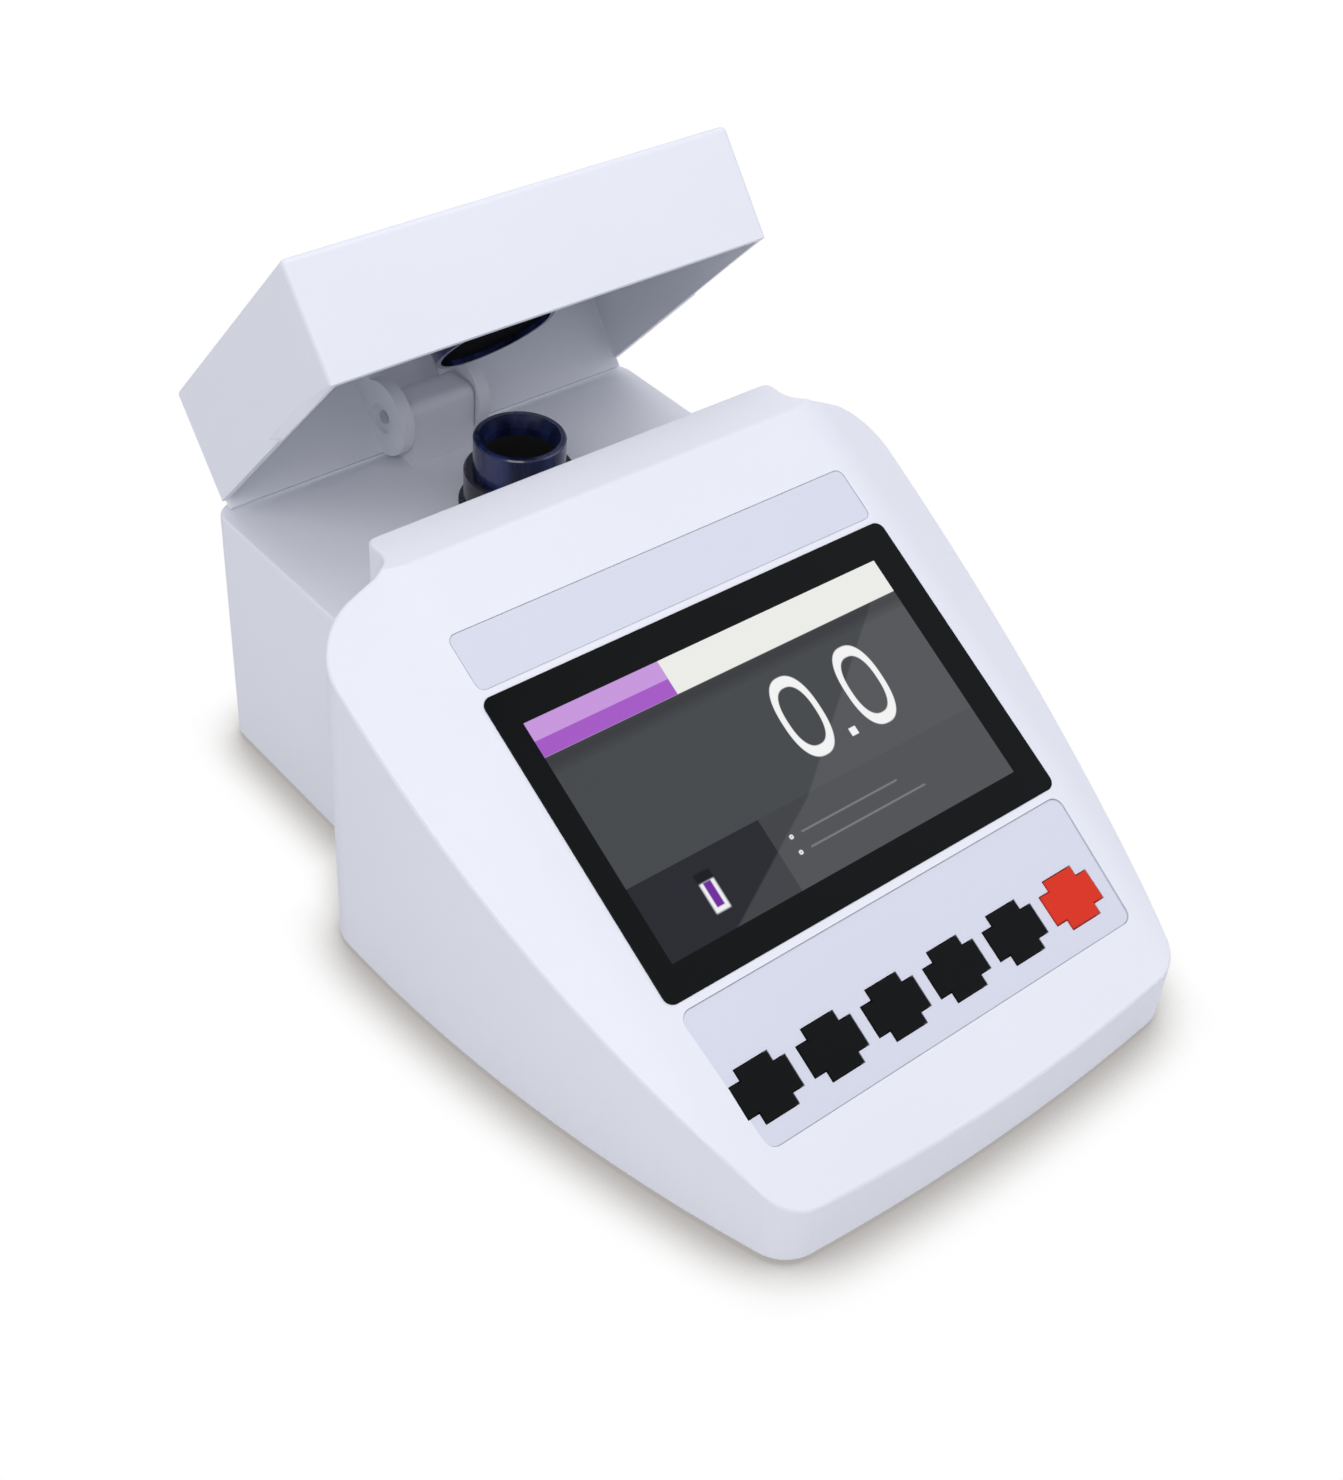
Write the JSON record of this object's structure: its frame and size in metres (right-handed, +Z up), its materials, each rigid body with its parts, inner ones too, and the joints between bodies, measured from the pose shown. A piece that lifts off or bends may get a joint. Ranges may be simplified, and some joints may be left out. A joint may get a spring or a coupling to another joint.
{
  "type": "bench turbidity meter",
  "caption": "White bench turbidity meter: sloped console with colour display and keypad, a round sample well on the box behind it and a deep hinged lid standing open.",
  "frame": {"origin": "on the table top, under the middle of the whole instrument with the lid open", "axes": "+Z up, +X to the instrument's right as its user sees it, +Y to the back; the display faces -Y and up"},
  "size_m": [0.244, 0.3477, 0.226],
  "materials": {
    "white_abs": "satin",
    "grey_abs": "matte",
    "rubber": "matte",
    "screw_steel": "satin",
    "screen_glass": "gloss",
    "black_tape": "matte",
    "tin_metal": "satin",
    "label_film": "satin",
    "circuit_board": "satin",
    "switch_black": "satin",
    "gloss_black": "gloss",
    "matte_black": "matte",
    "alu": "satin",
    "clear_glass": "gloss",
    "pin_steel": "polished",
    "foam": "matte",
    "key_black": "satin",
    "key_red": "satin"
  },
  "bodies": {
    "housing": {"housing_cover": "white_abs", "base_plate": "grey_abs", "rubber_feet": "rubber", "base_screws": "screw_steel", "display_glass": "screen_glass", "display_tape": "black_tape", "lcd_module": "tin_metal", "label_strip": "label_film", "keypad_overlay": "label_film", "keypad_board": "circuit_board", "key_switches": "switch_black", "keypad_screws": "screw_steel", "main_board": "circuit_board", "board_parts": "switch_black", "main_screws": "screw_steel", "well_tube": "gloss_black", "well_collar": "gloss_black", "well_pad": "rubber", "chamber_block": "matte_black", "chamber_screws": "screw_steel", "lamp_holder": "alu", "lamp_lens": "clear_glass", "scatter_detector": "tin_metal", "beam_detector": "tin_metal", "hinge_block": "white_abs", "hinge_pin": "pin_steel", "hinge_screws": "screw_steel", "rear_plate": "alu", "plate_screws": "screw_steel", "rocker_frame": "switch_black", "power_inlet": "switch_black", "data_port": "tin_metal"},
    "lid": {"lid_shell": "white_abs", "light_cup": "gloss_black", "foam_seal": "foam", "cup_screws": "screw_steel"},
    "rocker": {"rocker": "switch_black"},
    "key_1": {"key_1": "key_black"},
    "key_2": {"key_2": "key_black"},
    "key_3": {"key_3": "key_black"},
    "key_4": {"key_4": "key_black"},
    "key_5": {"key_5": "key_black"},
    "key_red": {"key_red": "key_red"}
  },
  "joints": [
    {"name": "lid_hinge", "type": "hinge", "parent": "housing", "child": "lid", "pos_m": [-0.0045, 0.1448, 0.1205], "axis": [-1, 0, 0], "range_deg": [-31.7, 42]},
    {"name": "key_1_press", "type": "slide", "parent": "housing", "child": "key_1", "axis": [0, 0.4856, -0.8742], "range_m": [0, 0.0008], "stiffness_N_per_m": 600, "springref_m": -0.0008},
    {"name": "key_2_press", "type": "slide", "parent": "housing", "child": "key_2", "axis": [0, 0.4856, -0.8742], "range_m": [0, 0.0008], "stiffness_N_per_m": 600, "springref_m": -0.0008},
    {"name": "key_3_press", "type": "slide", "parent": "housing", "child": "key_3", "axis": [0, 0.4856, -0.8742], "range_m": [0, 0.0008], "stiffness_N_per_m": 600, "springref_m": -0.0008},
    {"name": "key_4_press", "type": "slide", "parent": "housing", "child": "key_4", "axis": [0, 0.4856, -0.8742], "range_m": [0, 0.0008], "stiffness_N_per_m": 600, "springref_m": -0.0008},
    {"name": "key_5_press", "type": "slide", "parent": "housing", "child": "key_5", "axis": [0, 0.4856, -0.8742], "range_m": [0, 0.0008], "stiffness_N_per_m": 600, "springref_m": -0.0008},
    {"name": "key_red_press", "type": "slide", "parent": "housing", "child": "key_red", "axis": [0, 0.4856, -0.8742], "range_m": [0, 0.0008], "stiffness_N_per_m": 600, "springref_m": -0.0008},
    {"name": "rocker_tilt", "type": "hinge", "parent": "housing", "child": "rocker", "pos_m": [-0.034, 0.1475, 0.04], "axis": [-1, 0, 0], "range_deg": [0, 20]}
  ]
}
